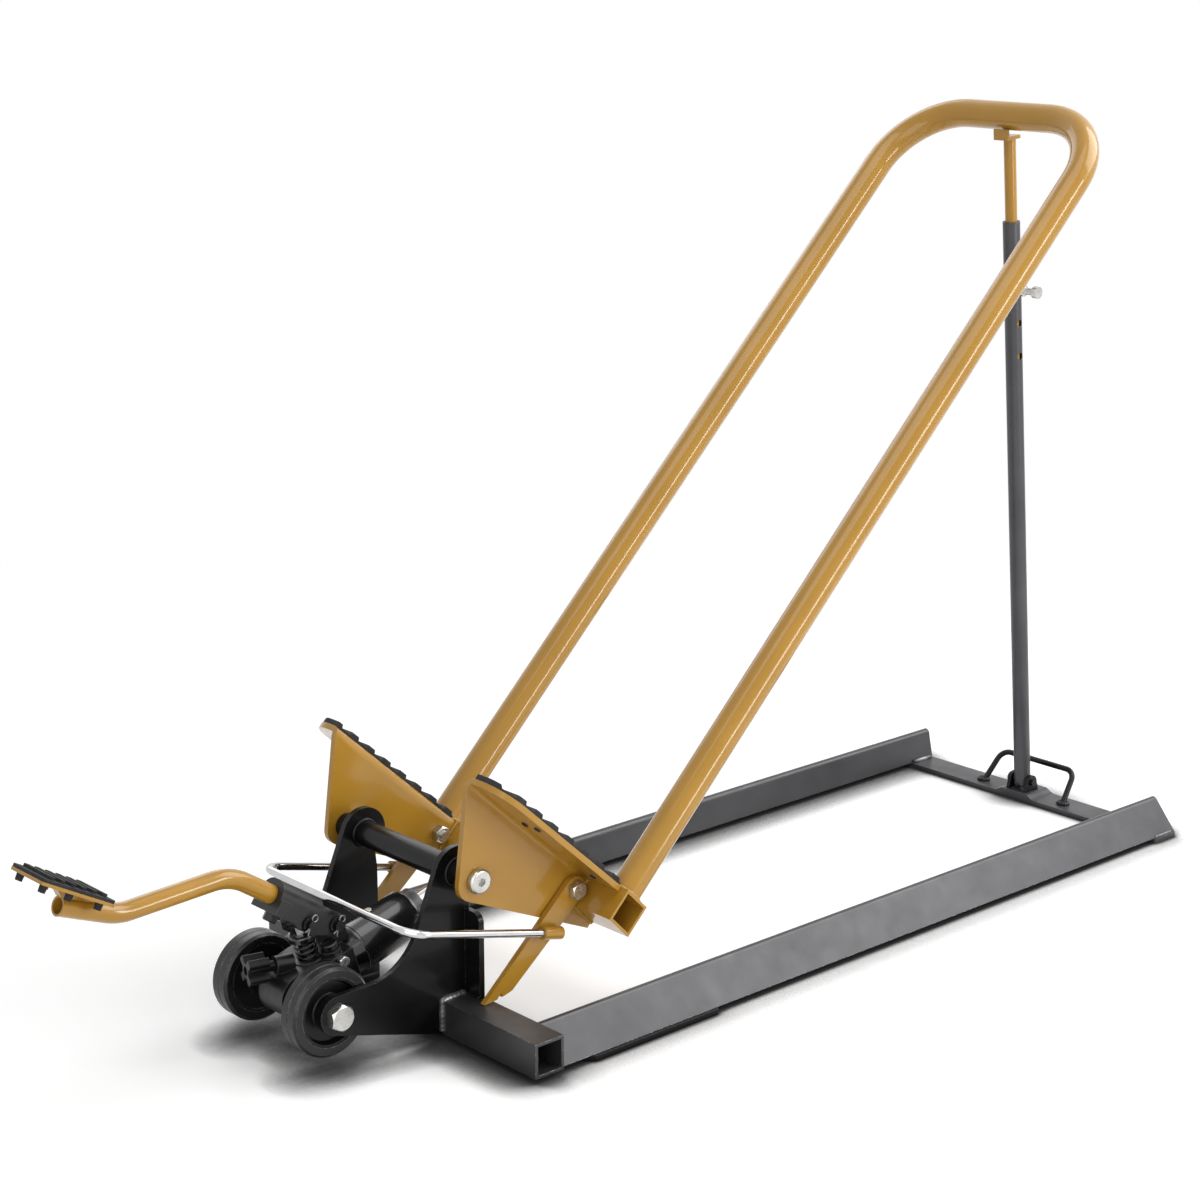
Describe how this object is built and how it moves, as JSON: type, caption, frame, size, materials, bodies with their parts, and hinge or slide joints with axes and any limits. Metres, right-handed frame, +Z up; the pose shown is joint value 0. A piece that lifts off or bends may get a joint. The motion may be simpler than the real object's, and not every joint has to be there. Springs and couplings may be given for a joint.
{
  "type": "mower jack",
  "caption": "Foot-pumped hydraulic mower jack: low rail base, two transport wheels, tilting U-shaped lift frame with ribbed wheel rests, safety latch and folding prop.",
  "frame": {"origin": "middle of the jack's overall box, on the floor", "axes": "+X rearward along the base rails towards the carry handle, +Y to the operator's left, +Z up"},
  "size_m": [1.406, 0.428, 0.8492],
  "materials": {
    "black_paint": "semi-gloss powder coat",
    "grey_paint": "satin paint",
    "gold_paint": "gloss metallic paint",
    "pump_paint": "gloss paint over castings",
    "chrome": "polished",
    "zinc": "bright zinc plate",
    "steel": "plain machined steel",
    "rubber": "moulded",
    "tyre": "moulded",
    "plastic": "moulded"
  },
  "bodies": {
    "base": {"front_tubes": "grey_paint", "left_rail": "grey_paint", "right_rail": "grey_paint", "skids": "black_paint", "rear_bar": "black_paint", "prop_clevis": "black_paint", "prop_hinge_pin": "zinc", "carry_handle": "black_paint", "left_side_plate": "black_paint", "right_side_plate": "black_paint", "tie_plate": "black_paint", "axle_tube": "black_paint", "pivot_bolts": "zinc", "wheel_bolt": "zinc", "wheel_nut": "zinc", "wheel_sleeve": "black_paint"},
    "left_wheel": {"left_tyre": "tyre", "left_hub": "plastic"},
    "right_wheel": {"right_tyre": "tyre", "right_hub": "plastic"},
    "lift": {"lift_tube": "gold_paint", "lift_cross_tube": "gold_paint", "left_bracket": "gold_paint", "right_bracket": "gold_paint", "left_wheel_pad": "rubber", "right_wheel_pad": "rubber", "ram_lugs": "gold_paint", "ram_pin": "zinc", "latch_bolts": "zinc", "latch_nuts": "zinc"},
    "latch": {"left_latch_arm": "gold_paint", "right_latch_arm": "gold_paint", "bail_sockets": "gold_paint", "release_bail": "chrome"},
    "pump": {"pump_block": "pump_paint", "ram_cylinder": "pump_paint", "ram_gland": "steel", "filler_plug": "zinc", "bleed_screw": "zinc", "gauge_plug": "zinc", "pump_spring": "steel"},
    "rod": {"ram_rod": "chrome", "ram_head": "steel", "ram_piston": "steel"},
    "pedal": {"pedal_socket": "pump_paint", "socket_screw": "zinc", "pedal_pin": "zinc", "link_pin": "zinc", "pin_clips": "zinc", "pedal_lever": "gold_paint", "pedal_plate": "gold_paint", "pedal_pad": "rubber"},
    "plunger": {"pump_plunger": "chrome", "spring_cup": "pump_paint"},
    "knob": {"release_knob": "plastic"},
    "prop": {"prop_tube": "grey_paint", "prop_rod": "gold_paint", "prop_saddle": "gold_paint"},
    "prop_pin": {"lock_pin": "zinc"}
  },
  "joints": [
    {"name": "lift_tilt", "type": "hinge", "parent": "base", "child": "lift", "pos_m": [-0.28653, 0, 0.168], "axis": [0, 1, 0], "range_deg": [0, 43]},
    {"name": "latch_swing", "type": "hinge", "parent": "lift", "child": "latch", "pos_m": [-0.16811, 0, 0.12998], "axis": [0, 1, 0], "range_deg": [0, 30]},
    {"name": "ram_swing", "type": "hinge", "parent": "base", "child": "pump", "pos_m": [-0.43053, 0, 0.062], "axis": [0, 1, 0], "range_deg": [-0.5, 15.71]},
    {"name": "rod_slide", "type": "slide", "parent": "pump", "child": "rod", "axis": [0.9584, 0, 0.2853], "range_m": [-0.0631, 0.001]},
    {"name": "pedal_press", "type": "hinge", "parent": "pump", "child": "pedal", "pos_m": [-0.38615, 0, 0.12321], "axis": [0, -1, 0], "range_deg": [0, 18], "stiffness_Nm_per_rad": 12, "springref_deg": -20.05},
    {"name": "plunger_slide", "type": "slide", "parent": "pump", "child": "plunger", "axis": [0.2853, 0, -0.9584], "range_m": [-0.0005, 0.01003], "deforming": ["pump_spring"]},
    {"name": "knob_turn", "type": "hinge", "parent": "pump", "child": "knob", "pos_m": [-0.42535, 0.002, 0.09015], "axis": [-0.9706, 0.2409, 0.0004], "range_deg": [0, 180]},
    {"name": "left_wheel_spin", "type": "hinge", "parent": "base", "child": "left_wheel", "pos_m": [-0.43053, 0.0565, 0.062], "axis": [0, 1, 0], "continuous": true},
    {"name": "right_wheel_spin", "type": "hinge", "parent": "base", "child": "right_wheel", "pos_m": [-0.43053, -0.0565, 0.062], "axis": [0, 1, 0], "continuous": true},
    {"name": "prop_fold", "type": "hinge", "parent": "base", "child": "prop", "pos_m": [0.66947, 0, 0.022], "axis": [0, 1, 0], "range_deg": [-83, 0.5]},
    {"name": "prop_pin_pull", "type": "slide", "parent": "prop", "child": "prop_pin", "axis": [0, -1, 0], "range_m": [0, 0.03]}
  ],
  "couplings": [
    {"joint": "ram_swing", "follows": "lift_tilt", "ratio": 0.35372},
    {"joint": "rod_slide", "follows": "lift_tilt", "m_per_rad": -0.082746},
    {"joint": "prop_fold", "follows": "lift_tilt", "ratio": -1.9186},
    {"joint": "plunger_slide", "follows": "pedal_press", "m_per_rad": 0.030346}
  ]
}
